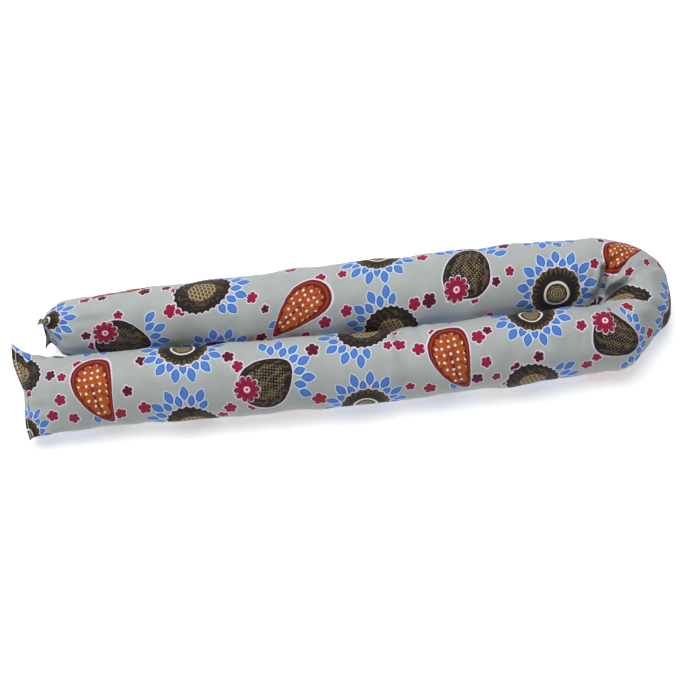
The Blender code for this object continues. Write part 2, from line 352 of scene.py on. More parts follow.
def end_ring(distance, near):
    """A ring near a sewn end. It grows out of the seam and joins the leg's even stretch."""
    rows = NEAR_END if near else FAR_END
    x = (NEAR_SEAM_X if near else FAR_SEAM_X) + distance
    reach = rows[-1].distance
    leg = leg_ring(x, near)
    if distance >= reach:
        return leg
    along = between(rows, "distance", "along", distance) / 2
    behind_hem = HEM_THICK + HEM_OPENS * max(0.0, distance - HEM_WIDE)
    thick = min(between(rows, "distance", "thick", distance), max(LIP, behind_hem)) / 2
    point = between(rows, "distance", "point", distance)
    join = eased((distance - reach / 2) / (reach / 2))
    wide, high = (along, thick) if near else (thick, along)
    y = between(rows, "distance", "middle_y", distance)
    middle_z = between(rows, "distance", "middle_z", distance)
    return leg._replace(
        y=y + (leg.y - y) * join,
        half_wide=wide + (leg.half_wide - wide) * join,
        half_high=high + (leg.half_high - high) * join,
        middle_z=middle_z + (leg.middle_z - middle_z) * join,
        inner_limit=leg.inner_limit - (1 - join) * leg.half_wide,
        flat_seam=point if near else 1.0,
        upright_seam=1.0 if near else point,
        corner=max(0.0, 1 - distance / CORNER_FADE) ** CORNER_FADE_POWER,
    )


def bend_ring(degrees):
    """A ring of the bend, which stands on the pinch and faces outward."""
    reach = between(BEND, "degrees", "reach", degrees)
    high = between(BEND, "degrees", "high", degrees)
    facing = math.radians(degrees)
    middle = (reach + PINCH_RADIUS) / 2
    half = (reach - PINCH_RADIUS) / 2
    return Ring(
        x=PINCH_X + middle * math.cos(facing),
        y=PINCH_Y + middle * math.sin(facing),
        facing=facing,
        half_wide=half,
        half_high=(high + FLOOR_PRESS) / 2,
        middle_z=(high - FLOOR_PRESS) / 2,
        inner_limit=-half,
        flat_seam=1.0,
        upright_seam=1.0,
        corner=0.0,
    )


def leg_places(length):
    """Distances from the seam for a leg's rings, closer together near the seam and near the bend."""
    fine = round(FINE_REACH / FINE_STEP)
    coarse = round((length - 2 * FINE_REACH) / LEG_STEP)
    parts = (
        np.linspace(0, FINE_REACH, fine, endpoint=False),
        np.linspace(FINE_REACH, length - FINE_REACH, coarse, endpoint=False),
        np.linspace(length - FINE_REACH, length, fine + 1),
    )
    return np.concatenate(parts)


class Tube:
    """The tube's rings in order, from the near seam round the bend to the far seam."""

    def __init__(self):
        near_length = PINCH_X - NEAR_SEAM_X
        far_length = PINCH_X - FAR_SEAM_X
        near = leg_places(near_length)
        far = leg_places(far_length)[::-1]
        turns = np.arange(-90 + BEND_STEP_DEGREES, 90, BEND_STEP_DEGREES)
        self.rings = [end_ring(distance, True) for distance in near]
        self.rings += [bend_ring(degrees) for degrees in turns]
        self.rings += [end_ring(distance, False) for distance in far]
        self.bend_starts = len(near)
        self.bend_ends = len(near) + len(turns)
        self.legs = (slice(0, self.bend_starts), slice(self.bend_ends, None))
        # The far seam stands upright where the near seam lies flat, so the cloth turns a quarter on its way.
        self.twists = np.zeros(len(self.rings))
        self.twists[self.bend_ends :] = math.pi / 2 * eased(1 - far / far_length)

        middles = np.array([(ring.x, ring.y) for ring in self.rings])
        steps = np.linalg.norm(np.diff(middles, axis=0), axis=1)
        self.travel = np.concatenate([[0], np.cumsum(steps)])

    def to_seam(self):
        """How far each ring is from the nearer seam, along the tube."""
        return np.minimum(self.travel, self.travel[-1] - self.travel)

    def column(self, field):
        """One of the rings' values, shaped to work along the rings' points."""
        return np.array([getattr(ring, field) for ring in self.rings])[:, None]


def raised(value, power):
    """A power of the size, with the sign kept."""
    return np.sign(value) * np.abs(value) ** power


def ring_curves(tube, steps):
    """The rings as closed curves of many short steps, the corner line of the cloth at the first point."""
    turn = np.linspace(0, 2 * math.pi, steps + 1)[None, :] + tube.twists[:, None]
    half_wide = tube.column("half_wide")
    half_high = tube.column("half_high")
    across = half_wide * raised(np.cos(turn), tube.column("upright_seam"))
    up = half_high * raised(np.sin(turn), tube.column("flat_seam"))
    corner = tube.column("corner")
    push = np.zeros_like(across)
    near, far = tube.legs
    place = (across / half_wide)[near]
    push[near] = corner[near] * between(NEAR_SEAM, "place", "push", place)
    up[near] += corner[near] * between(NEAR_SEAM, "place", "curl", place)
    place = (up / half_high)[far]
    push[far] = corner[far] * between(FAR_SEAM, "place", "push", place)
    across[far] += corner[far] * between(FAR_SEAM, "place", "curl", place)
    across = np.maximum(across, tube.column("inner_limit"))
    to_seam = tube.to_seam()[:, None]
    up -= SAG * eased(to_seam / SAG_FULL_FROM) * (1 - (up / half_high) ** 2)
    z = np.maximum(tube.column("middle_z") + up, 0.0)
    inner_side = eased((-across / half_wide - SLIT_SIDE) / (1 - SLIT_SIDE))
    between_legs = eased(to_seam / SAG_FULL_FROM) * eased((PINCH_X - tube.column("x")) / PINCH_OPENS_OVER)
    across += SLIT * inner_side * between_legs * np.exp(-(((z - SLIT_HIGH) / SLIT_REACH) ** 2))
    facing = tube.column("facing")
    x = tube.column("x") + across * np.cos(facing) + push
    y = tube.column("y") + across * np.sin(facing)
    return np.stack([x, y, z], axis=-1)


def evenly_spaced(curves, count):
    """Points at equal distances along each half of the curves, from corner line to corner line."""
    half = (curves.shape[1] - 1) // 2
    rows = []
    for curve in curves:
        row = []
        for part in (curve[: half + 1], curve[half:]):
            steps = np.linalg.norm(np.diff(part, axis=0), axis=1)
            reached = np.concatenate([[0], np.cumsum(steps)])
            wanted = np.linspace(0, reached[-1], count // 2 + 1)[:-1]
            row.append(np.stack([np.interp(wanted, reached, part[:, k]) for k in range(3)], axis=-1))
        rows.append(np.concatenate(row))
    return np.array(rows)


def fold_depth(points):
    """How far the folds on top sink the surface at each point's place in the plan."""
    depth = np.zeros(points.shape[:-1])
    swell = np.zeros(points.shape[:-1])
    for first, second in zip(FOLDS, FOLDS[1:]):
        if first.name != second.name:
            continue
        start = np.array([first.x, first.y])
        run = np.array([second.x, second.y]) - start
        offset = points[..., :2] - start
        share = np.clip(offset @ run / (run @ run), 0.0, 1.0)
        off = np.linalg.norm(offset - share[..., None] * run, axis=-1)
        on_left = run[0] * offset[..., 1] - run[1] * offset[..., 0] > 0
        left, right, deep, crack = (
            getattr(first, field) + (getattr(second, field) - getattr(first, field)) * share
            for field in ("left", "right", "deep", "crack")
        )
        away = off / np.where(on_left, left, right)
        near = np.clip((away - FOLD_OPEN) / (1 - FOLD_OPEN), 0.0, 1.0)
        tight = 1 - (near * (2 - near)) ** FOLD_ROUND
        soft = (1 - near**2) ** 2
        depth = np.maximum(depth, deep * (crack * tight + (1 - crack) * soft))
        swell = np.maximum(swell, deep * FOLD_SWELL * np.exp(-((2 * away - 2.2) ** 2)))
    return depth - swell


def sunk(points, tube):
    """The points, pushed towards their ring's middle where a fold runs over the upper side."""
    middles = np.stack([tube.column("x"), tube.column("y"), tube.column("middle_z")], axis=-1)
    spokes = points - middles
    lengths = np.linalg.norm(spokes, axis=-1)
    height = spokes[..., 2] / tube.column("half_high")
    upper = eased((height + FOLD_FADE) / (2 * FOLD_FADE))
    depth = fold_depth(points) * upper
    share = np.minimum(depth / np.maximum(lengths, 1e-6), 0.8)
    return points - spokes * share[..., None]


def outward(points):
    """Unit directions out of the cloth at each point of the grid."""
    along = np.gradient(points, axis=0)
    padded = np.concatenate([points[:, -1:], points, points[:, :1]], axis=1)
    around = (padded[:, 2:] - padded[:, :-2]) / 2
    out = np.cross(around, along)
    out /= np.maximum(np.linalg.norm(out, axis=-1, keepdims=True), 1e-9)
    # The middle of a ring lies inside it, which tells the two sides apart.
    inward = points.mean(axis=1, keepdims=True) - points
    flip = np.sign(-(out * inward).sum(axis=-1).mean())
    return out * flip


def from_pinch(points):
    """How far each point is from the pinch in the plan."""
    return np.linalg.norm(points[..., :2] - np.array([PINCH_X, PINCH_Y]), axis=-1)


def ruffle_height(tube, points):
    """How far the puckers and the uneven filling lift the cloth, less where it is folded tight."""
    count = points.shape[1]
    along = tube.travel[:, None]
    around = np.arange(count)[None, :] * CLOTH_ROUND / count
    to_seam = tube.to_seam()[:, None]
    height = np.zeros((len(along), count))
    for pucker in PUCKERS:
        turn = 2 * math.pi * pucker.waves_round * (around - pucker.start) / CLOTH_ROUND
        uneven = 0.65 + 0.35 * np.sin(turn * 3 / pucker.waves_round + pucker.start)
        reach = to_seam / pucker.peak
        height += pucker.height * uneven * np.cos(turn) * reach * np.exp(1 - reach)
    clear = eased(to_seam / RIPPLE_REACH)
    for ripple in RIPPLES:
        turn = ripple.waves_round * around / CLOTH_ROUND + (along - ripple.start) / ripple.along
        height += ripple.height * clear * np.cos(2 * math.pi * turn)
    loose = eased((from_pinch(points) - TIGHT_ROUND_PINCH) / TIGHT_ROUND_PINCH)
    past_corner = around % (CLOTH_ROUND / 2)
    from_corner = np.minimum(past_corner, CLOTH_ROUND / 2 - past_corner)
    at_end = 1 - eased(to_seam / TIGHT_FROM_SEAM)
    return height * loose * (1 - at_end * (1 - eased(from_corner / TIGHT_ROUND_CORNER)))


def kept_apart(points, base, tube):
    """The points held above the surface, and each leg held on its own side of the gap between the legs."""
    points[..., 2] = np.maximum(points[..., 2], 0.0)
    near, far = tube.legs
    points[near, :, 1] = np.minimum(points[near, :, 1], base[near, :, 1].max(axis=1, keepdims=True))
    points[far, :, 1] = np.maximum(points[far, :, 1], base[far, :, 1].min(axis=1, keepdims=True))
    return points


def held_in_settling(points, tube):
    """Which points stay where they are: on the surface, between the legs, round the pinch, and the hems."""
    held = points[..., 2] < SETTLE_HELD_BELOW
    held |= from_pinch(points) < SETTLE_HELD_ROUND_PINCH
    near, far = tube.legs
    y = points[..., 1]
    held[near] |= y[near] > y[near].max(axis=1, keepdims=True) - SETTLE_HELD_AT_GAP
    held[far] |= y[far] < y[far].min(axis=1, keepdims=True) + SETTLE_HELD_AT_GAP
    held[tube.to_seam() < HEM_WIDE] = True
    return held


def length_change(points, tube):
    """How much shorter the cloth is than the tube at each point: slack is below zero."""
    slack = SETTLE_SLACK * (1 - eased(from_pinch(points) / BEND_OUTSIDE))
    to_seam = tube.to_seam()[:, None]
    drawn = SETTLE_DRAWN * (1 - eased((to_seam - HEM_WIDE) / RIPPLE_REACH))
    return drawn - slack


def spread_out(moves, rows, shape):
    """Moves of every second point of the grid, worked out for all its points and smoothed a little."""
    every_ring = np.arange(shape[0])
    parts = np.moveaxis(moves, 2, 0)
    moves = np.stack([[np.interp(every_ring, rows, column) for column in part.T] for part in parts])
    whole = np.zeros((3, shape[1], shape[0]))
    whole[:, ::SETTLE_EVERY] = moves
    whole[:, 1::SETTLE_EVERY] = (moves + np.roll(moves, -1, axis=1)) / 2
    whole = (np.roll(whole, 1, axis=1) + 2 * whole + np.roll(whole, -1, axis=1)) / 4
    inner = (whole[..., :-2] + 2 * whole[..., 1:-1] + whole[..., 2:]) / 4
    whole[..., 1:-1] = inner
    return np.moveaxis(whole, 0, 2).swapaxes(0, 1)


def placed(name, data):
    """A new object with this data, put in the scene."""
    thing = bpy.data.objects.new(name, data)
    bpy.context.scene.collection.objects.link(thing)
    return thing


def set_cloth(modifier):
    """Sets the simulation up: two groups hold the cloth and draw it in, and the filling presses on it."""
    settings = modifier.settings
    settings.quality = SETTLE_QUALITY
    settings.mass = SETTLE_MASS
    settings.bending_stiffness = SETTLE_BENDING
    settings.vertex_group_mass = "held"
    settings.vertex_group_shrink = "drawn"
    settings.shrink_min = -SETTLE_SLACK
    settings.shrink_max = SETTLE_DRAWN
    settings.use_pressure = True
    settings.uniform_pressure_force = SETTLE_PRESSURE
    settings.effector_weights.gravity = 0
    modifier.collision_settings.use_collision = False
    modifier.point_cache.frame_end = SETTLE_FRAMES


def settled(points, tube):
    """The points after the cloth has settled over the pressure of its filling."""
    rows = np.unique(np.append(np.arange(0, len(points), SETTLE_EVERY), len(points) - 1))
    coarse = points[rows, ::SETTLE_EVERY]
    rings, count = coarse.shape[:2]
    mesh = bpy.data.meshes.new("settling")
    mesh.from_pydata((coarse.reshape(-1, 3) / 1000).tolist(), [], tube_faces(rings, count))
    cloth = placed("settling", mesh)
    held = cloth.vertex_groups.new(name="held")
    held_points = np.flatnonzero(held_in_settling(points, tube)[rows, ::SETTLE_EVERY])
    held.add(held_points.tolist(), 1.0, "REPLACE")
    drawn = cloth.vertex_groups.new(name="drawn")
    change = length_change(points, tube)[rows, ::SETTLE_EVERY].ravel()
    share = (change + SETTLE_SLACK) / (SETTLE_DRAWN + SETTLE_SLACK)
    for index, weight in enumerate(share.tolist()):
        drawn.add([index], weight, "REPLACE")
    set_cloth(cloth.modifiers.new("settling", "CLOTH"))
    for number in range(1, SETTLE_FRAMES + 1):
        bpy.context.scene.frame_set(number)
    after = cloth.evaluated_get(bpy.context.evaluated_depsgraph_get()).data
    places = np.zeros(3 * rings * count)
    after.vertices.foreach_get("co", places)
    bpy.context.scene.frame_set(1)
    moves = 1000 * places.reshape(rings, count, 3) - coarse
    bpy.data.objects.remove(cloth)
    bpy.data.meshes.remove(mesh)
    length = np.linalg.norm(moves, axis=-1, keepdims=True)
    moves *= np.minimum(1.0, SETTLE_CAP / np.maximum(length, 1e-9))
    fade = SETTLE_FULL_FROM_PINCH - SETTLE_HELD_ROUND_PINCH
    clear = eased((from_pinch(points) - SETTLE_HELD_ROUND_PINCH) / fade)
    return points + clear[..., None] * spread_out(moves, rows, points.shape[:2])


def cloth_points():
    """Every point of the cover in the layout's millimetres."""
    tube = Tube()
    base = evenly_spaced(ring_curves(tube, CURVE_STEPS), POINTS_ROUND)
    points = settled(base, tube)
    points = sunk(points, tube)
    height = ruffle_height(tube, points)
    points = kept_apart(points + outward(points) * height[..., None], base, tube)
    return tube, base, points


def moved_over_frame(base, points):
    """The points moved so that the plain tube's box is centred on the solid's box."""
    low = base.reshape(-1, 3).min(axis=0)
    high = base.reshape(-1, 3).max(axis=0)
    cad_low, cad_high = (1000 * np.array(corner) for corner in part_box("stuffed_tube"))
    shift = (cad_low + cad_high) / 2 - (low + high) / 2
    shift[2] = cad_low[2] - low[2]
    return points + shift


def tube_faces(rings, count):
    """The faces of the tube, and the strips that close the lip of each seam."""
    faces = []
    for i in range(rings - 1):
        a = i * count
        b = a + count
        for j in range(count):
            k = (j + 1) % count
            faces.append((a + j, b + j, b + k, a + k))
    for first in (0, (rings - 1) * count):
        for j in range(count // 2):
            corners = (j, (j + 1) % count, (count - j - 1) % count, (count - j) % count)
            loop = [first + corner for corner in dict.fromkeys(corners)]
            faces.append(tuple(loop if first == 0 else reversed(loop)))
    return faces


def travelled(points, first, last):
    """The distance over the cloth from ring first to each ring up to last, as the mean round the ring."""
    steps = np.linalg.norm(np.diff(points[first : last + 1], axis=0), axis=-1).mean(axis=1)
    return np.concatenate([[0], np.cumsum(steps)])


def sector_starts():
    """Where each sector's middle lies along the cloth, measured from the start of the bend."""
    middles = []
    reached = 0.0
    for sector in SECTORS:
        half = BEND_OUTSIDE * math.sin(math.radians(sector.end - sector.start) / 2)
        middles.append(reached + half)
        reached += 2 * half
    return middles, reached


def bend_travel(degrees, sector, middle, radius):
    """Places along the cloth on one ring of the bend, for points at these distances from the pinch."""
    turn = math.radians(degrees - (sector.start + sector.end) / 2)
    gather = sector.start_gather if turn < 0 else sector.end_gather
    fade = 1 - eased((radius - GATHER_FULL_WITHIN) / (GATHER_GONE_BEYOND - GATHER_FULL_WITHIN))
    reach = BEND_OUTSIDE + (np.minimum(radius, BEND_OUTSIDE) - BEND_OUTSIDE) * gather * fade
    return middle + reach * math.sin(turn)


def cloth_map(tube, base):
    """For each ring of faces, the cloth's length coordinate on its first and on its second ring of points."""
    count = base.shape[1]
    starts, bend_length = sector_starts()
    near = travelled(base, 0, tube.bend_starts - 1)
    far = travelled(base, tube.bend_ends, len(base) - 1)
    pairs = [(np.full(count, a), np.full(count, b)) for a, b in zip(near, near[1:])]
    degrees = [math.degrees(ring.facing) for ring in tube.rings]
    radius = from_pinch(base)
    for i in range(tube.bend_starts - 1, tube.bend_ends):
        middle_degrees = (degrees[i] + degrees[i + 1]) / 2
        k = next(k for k, sector in enumerate(SECTORS) if middle_degrees < sector.end)
        pair = [near[-1] + bend_travel(degrees[n], SECTORS[k], starts[k], radius[n]) for n in (i, i + 1)]
        pairs.append(tuple(pair))
    offset = near[-1] + bend_length
    pairs += [(np.full(count, offset + a), np.full(count, offset + b)) for a, b in zip(far, far[1:])]
    return pairs


def lay_cloth_map(mesh, pairs, count):
    """Writes the UV map: length along the cloth, and the way round from the first corner line, in mm."""
    around = np.arange(count + 1) * CLOTH_ROUND / count
    around_next = np.where(np.arange(count + 1) > count // 2, around - CLOTH_ROUND, around)
    places = []
    for first, second in pairs:
        for j in range(count):
            k = (j + 1) % count
            shift = 0 if j < count // 2 else -CLOTH_ROUND
            v0 = around[j] + shift
            v1 = around[j + 1] + shift
            places += [(first[j], v0), (second[j], v0), (second[k], v1), (first[k], v1)]
    lips = len(mesh.loops) - len(places)
    ends = [pairs[0][0][0], pairs[-1][1][0]]
    values = np.zeros((len(mesh.loops), 2))
    values[: len(places)] = places
    vertex = np.zeros(len(mesh.loops), int)
    mesh.loops.foreach_get("vertex_index", vertex)
    for loop in range(len(places), len(mesh.loops)):
        j = vertex[loop] % count
        side = 0 if loop < len(places) + lips // 2 else 1
        values[loop] = (ends[side], around_next[j])
    layer = mesh.uv_layers.new(name=CLOTH_MAP)
    layer.data.foreach_set("uv", values.ravel())


def paint(red, green, blue):
    """A colour given as 8-bit screen values, as the shader takes it."""
    parts = (((c / 255 + 0.055) / 1.055) ** 2.4 if c > 10 else c / 3295 for c in (red, green, blue))
    return (*parts, 1.0)


# The print's colours.
GROUND = paint(180, 185, 183)
GROUND_DARK = paint(171, 177, 175)
LEAF_BLUE = paint(84, 130, 212)
LEAF_DEEP = paint(44, 72, 146)
LEAF_OUTLINE = paint(200, 226, 250)
HALO = paint(240, 222, 238)
THREAD = paint(214, 216, 212)
BROWN_DARK = paint(36, 31, 31)
BROWN_OLIVE = paint(92, 75, 46)
TAN = paint(200, 180, 146)
CREAM = paint(238, 230, 214)
ORANGE = paint(196, 100, 38)
ORANGE_DEEP = paint(158, 64, 26)
RED_DARK = paint(112, 22, 18)
CRIMSON = paint(160, 20, 60)
CRIMSON_DEEP = paint(92, 16, 46)

# The large motifs stand in columns along the cloth, every second column half a row further on.
COLUMN_STEP = 96.0
ROW_STEP = 94.0
COLUMN_JITTER = 1.5
ROW_JITTER = 1.0
EDGE_SOFT = 0.5
WOBBLE = 1.6
WOBBLE_SCALE = 0.11
# The kinds of large motif, in the order in which they follow each other.
ASTER, PAISLEY, CONE, FIG = range(4)
# How far the leaves spread to each side behind each kind, in degrees: all round, none, and two fans.
LEAF_SPREAD = (200.0, 0.0, 84.0, 76.0)
# The leaves behind a motif, a row for each ring of them: its turn in shares of a step between leaves, how
# far out the leaves' middles lie, and their half sizes.
Leaves = namedtuple("Leaves", "turned middle half_long half_wide")
LEAF_RINGS = (
    Leaves(turned=0.0, middle=30.6, half_long=6.8, half_wide=3.9),
    Leaves(turned=0.5, middle=38.6, half_long=7.6, half_wide=4.4),
)
LEAVES_ROUND = 14
LEAF_HALO = 1.35
# A motif's buds stand in one ring, this many degrees clear of its leaves.
BUDS_ROUND = 9
BUD_RING = 39.0
BUD_CHANCE = 0.74
BUD_CLEAR = 24.0
BUD_HALO = 1.25
MOTIF_HALO = 1.3
# Half sizes of the motifs, and the step between a paisley's dots.
ASTER_RADIUS = 27.0
PAISLEY_LONG = 39.0
CONE_LONG = 33.0
CONE_WIDE = 27.0
FIG_LONG = 31.0
FIG_FLOWER = 14.0
DOT_STEP = 7.4
# What sets the random numbers of the motifs, the scattered buds and the rings of buds apart.
MOTIF_SEED = 1.0
SCATTER_SEED = 3.0
BUD_SEED = 9.0


class Value:
    """A number that varies over the cloth: the output of a shader node. Sums on it make further nodes."""

    def __init__(self, tree, socket):
        self.tree = tree
        self.socket = socket

    def __add__(self, other):
        return maths("ADD", self, other)

    def __radd__(self, other):
        return maths("ADD", other, self)

    def __sub__(self, other):
        return maths("SUBTRACT", self, other)

    def __rsub__(self, other):
        return maths("SUBTRACT", other, self)

    def __mul__(self, other):
        return maths("MULTIPLY", self, other)

    def __rmul__(self, other):
        return maths("MULTIPLY", other, self)

    def __truediv__(self, other):
        return maths("DIVIDE", self, other)

    def __abs__(self):
        return maths("ABSOLUTE", self)


def plug(tree, values, sockets):
    """Links each Value to its socket, and sets the plain numbers."""
    for socket, value in zip(sockets, values):
        if isinstance(value, Value):
            tree.links.new(value.socket, socket)
        else:
            socket.default_value = value


def maths(operation, *values, clamp=False):
    """A Math node on these values, at least one of which is a Value."""
    tree = next(value.tree for value in values if isinstance(value, Value))
    node = tree.nodes.new("ShaderNodeMath")
    node.operation = operation
    node.use_clamp = clamp
    plug(tree, values, node.inputs)
    return Value(tree, node.outputs[0])


def vector_of(x, y, z=0.0):
    """Three numbers as one vector socket."""
    tree = x.tree
    node = tree.nodes.new("ShaderNodeCombineXYZ")
    plug(tree, (x, y, z), node.inputs)
    return node.outputs[0]


def parts_of(tree, socket):
    """The three numbers in a vector or colour socket."""
    node = tree.nodes.new("ShaderNodeSeparateXYZ")
    tree.links.new(socket, node.inputs[0])
    return [Value(tree, output) for output in node.outputs]


def distance_of(x, y):
    """How far a place is from the middle."""
    node = x.tree.nodes.new("ShaderNodeVectorMath")
    node.operation = "LENGTH"
    x.tree.links.new(vector_of(x, y), node.inputs[0])
    return Value(x.tree, node.outputs["Value"])


def chances(x, y, seed):
    """Three random numbers from 0 to 1 that are the same all over a cell."""
    node = x.tree.nodes.new("ShaderNodeTexWhiteNoise")
    node.noise_dimensions = "3D"
    x.tree.links.new(vector_of(x, y, seed), node.inputs["Vector"])
    return parts_of(x.tree, node.outputs["Color"])


def noise(x, y, scale, detail=2.0, seed=0.0):
    """Soft noise over the cloth, as a colour socket. Scale is in repeats for each millimetre."""
    node = x.tree.nodes.new("ShaderNodeTexNoise")
    node.noise_dimensions = "3D"
    node.inputs["Scale"].default_value = scale
    node.inputs["Detail"].default_value = detail
    x.tree.links.new(vector_of(x, y, seed), node.inputs["Vector"])
    return node.outputs["Color"]


def inside(distance, soft=EDGE_SOFT):
    """1 where a distance is below zero, 0 where it is above, with a soft edge."""
    return maths("MULTIPLY_ADD", distance, -1.0 / soft, 0.5, clamp=True)


def mixed(first, second, share):
    """One colour over another. A colour is a tuple or a socket."""
    node = share.tree.nodes.new("ShaderNodeMix")
    node.data_type = "RGBA"
    share.tree.links.new(share.socket, node.inputs["Factor"])
    colour_inputs = [socket for socket in node.inputs if socket.type == "RGBA"]
    for socket, colour in zip(colour_inputs, (first, second)):
        if isinstance(colour, tuple):
            socket.default_value = colour
        else:
            share.tree.links.new(colour, socket)
    return next(socket for socket in node.outputs if socket.type == "RGBA")


def is_kind(kind, wanted):
    """1 in the cells with this kind of motif, and 0 elsewhere."""
    return maths("COMPARE", kind, wanted, 0.1)


def leaf_ring(radius, angle, spread, leaves):
    """The distance to the nearest of a ring of pointed leaves, as long as it lies within the spread."""
    pitch = 2 * math.pi / LEAVES_ROUND
    first = leaves.turned * pitch
    place = maths("ROUND", (angle - first) / pitch) * pitch + first
    along = (radius - leaves.middle) / leaves.half_long
    across = abs(radius * maths("SINE", angle - place))
    leaf = across - maths("MULTIPLY_ADD", along * along, -leaves.half_wide, leaves.half_wide)
    missing = maths("GREATER_THAN", abs(place), spread)
    return maths("MULTIPLY_ADD", missing, 99.0, leaf)


def aster(radius, angle, grain):
    """A round dark seed head with a pale ring and a freckled heart."""
    edge = radius - maths("MULTIPLY_ADD", maths("COSINE", angle * 19.0), 0.8, ASTER_RADIUS)
    rays = maths("SINE", angle * 31.0 + grain * 12.0) + (radius - 21.0) * 0.3
    colour = mixed(BROWN_DARK, BROWN_OLIVE, inside(0.75 - rays))
    colour = mixed(colour, BROWN_OLIVE, inside(radius - 9.6))
    scales = maths("SINE", radius * 2.3 + maths("SINE", angle * 8.0) * 1.3)
    colour = mixed(colour, TAN, inside(0.7 - scales, 0.4) * inside(radius - 8.6))
    colour = mixed(colour, CREAM, inside(abs(radius - 12.4) - 1.2))
    return edge, colour


def paisley(p, q, grain, dots):
    """A leaning drop with a scalloped dark border and rows of pale dots."""
    place = p / PAISLEY_LONG
    narrow = maths("MULTIPLY_ADD", place, -10.2, 20.2)
    lean = maths("MULTIPLY_ADD", (place + 0.3) * (place + 0.3), -9.0, q)
    around = distance_of(place, lean / narrow)
    edge = maths("MULTIPLY_ADD", around, 24.0, -24.0)
    bearing = maths("ARCTAN2", lean, p + 6.0)
    ribs = abs(maths("SINE", bearing * 4.0)) * around - 0.07
    colour = mixed(ORANGE, ORANGE_DEEP, inside(0.5 - grain, 0.6))
    colour = mixed(colour, RED_DARK, inside(ribs, 0.08))
    colour = mixed(colour, CREAM, inside(dots - 0.2, 0.07))
    scallops = abs(maths("SINE", bearing * 8.0)) * 2.6 - 7.6
    colour = mixed(colour, RED_DARK, inside(scallops - edge))
    colour = mixed(colour, ORANGE_DEEP, inside(abs(edge + 2.6) - 0.6))
    return edge, mixed(colour, CRIMSON_DEEP, inside(-0.9 - edge))


def cone(p, q, grain):
    """A seed cone: a dark husk with a ragged edge, and rows of pale scales on its front."""
    place = p + 8.0
    bearing = maths("ARCTAN2", q, place)
    around = distance_of(place / CONE_LONG, q / CONE_WIDE)
    ragged = abs(maths("SINE", bearing * 12.0)) * 2.2 - 30.0
    edge = maths("MULTIPLY_ADD", around, 30.0, ragged)
    streaks = maths("SINE", q * 0.9 + grain * 22.0 + place * 0.3)
    colour = mixed(BROWN_DARK, BROWN_OLIVE, inside(0.6 - streaks, 0.9) * inside(edge + 4.0, 1.5))
    front = maths("MULTIPLY_ADD", around, 30.0, -15.0)
    colour = mixed(colour, BROWN_OLIVE, inside(front, 1.5))
    row = place / 3.9
    column = maths("MULTIPLY_ADD", maths("PINGPONG", maths("FLOOR", row), 1.0), 0.5, q / 5.6)
    column = maths("FRACT", column) - 0.5
    scale = maths("FRACT", row) - column * column * 2.2
    scale = abs(scale - 0.22) - 0.15
    return edge, mixed(colour, TAN, inside(scale, 0.16) * inside(front + 0.8))


def petals(radius, angle, count, size):
    """The distance to the edge of a flower of round petals seen from the front, and how open it is there."""
    lobes = maths("SQRT", abs(maths("COSINE", angle * (count / 2))))
    return radius - size * maths("MULTIPLY_ADD", lobes, 0.42, 0.58), lobes


def blossom(radius, angle, count, size):
    """A flower seen from the front, with dark lines between its petals and a small pale ring."""
    edge, lobes = petals(radius, angle, count, size)
    colour = mixed(CRIMSON_DEEP, CRIMSON, inside(edge + 0.1 * size) * inside(0.55 - lobes, 0.2))
    colour = mixed(colour, CRIMSON, inside(radius - 0.36 * size))
    return edge, mixed(colour, HALO, inside(abs(radius - 0.18 * size) - 0.07 * size))


def fig(p, q, grain):
    """A dark ribbed fruit, drawn to a point, with a blossom at its other end."""
    place = p + 6.0
    narrow = maths("MULTIPLY_ADD", place, -0.27, 25.5)
    around = distance_of(place / FIG_LONG, q / narrow)
    edge = maths("MULTIPLY_ADD", around, 26.0, -26.0)
    ribs = maths("SINE", q * 14.0 / narrow + grain * 14.0)
    colour = mixed(BROWN_DARK, BROWN_OLIVE, inside(0.45 - ribs, 0.8) * inside(edge + 2.4, 1.2))
    freckles = maths("SINE", place * 1.5) * maths("SINE", q * 1.5 + grain * 8.0)
    colour = mixed(colour, TAN, inside(0.78 - freckles, 0.3) * inside(edge + 8.0))
    x = p + 28.0
    y = q - 9.0
    flower_edge, flower = blossom(distance_of(x, y), maths("ARCTAN2", y, x), 10, FIG_FLOWER)
    colour = mixed(colour, HALO, inside(flower_edge - 1.1))
    colour = mixed(colour, flower, inside(flower_edge))
    return maths("MINIMUM", edge, flower_edge), colour


def buds(colour, radius, angle, size, shade):
    """A small five-petalled bud with its pale halo, over the colour beneath it."""
    edge, _ = petals(radius, angle, 5, size)
    bud = mixed(CRIMSON_DEEP, CRIMSON, inside(edge + 1.0) * shade)
    colour = mixed(colour, HALO, inside(edge - BUD_HALO))
    return mixed(colour, bud, inside(edge))


def scattered(colour, u, v):
    """Buds in the gaps between the columns of large motifs."""
    column = maths("FLOOR", u / COLUMN_STEP)
    row = maths("FLOOR", v / (ROW_STEP / 2))
    chance = chances(column, row, SCATTER_SEED)
    x = u - (column + 0.5) * COLUMN_STEP + (chance[0] - 0.5) * 12.0
    y = v - (row + 0.5) * (ROW_STEP / 2) + (chance[1] - 0.5) * 14.0
    size = maths("MULTIPLY_ADD", chance[2], 3.4, 5.2)
    shade = maths("GREATER_THAN", chance[1], 0.35)
    return buds(colour, distance_of(x, y), maths("ARCTAN2", y, x) + chance[0] * 6.0, size, shade)


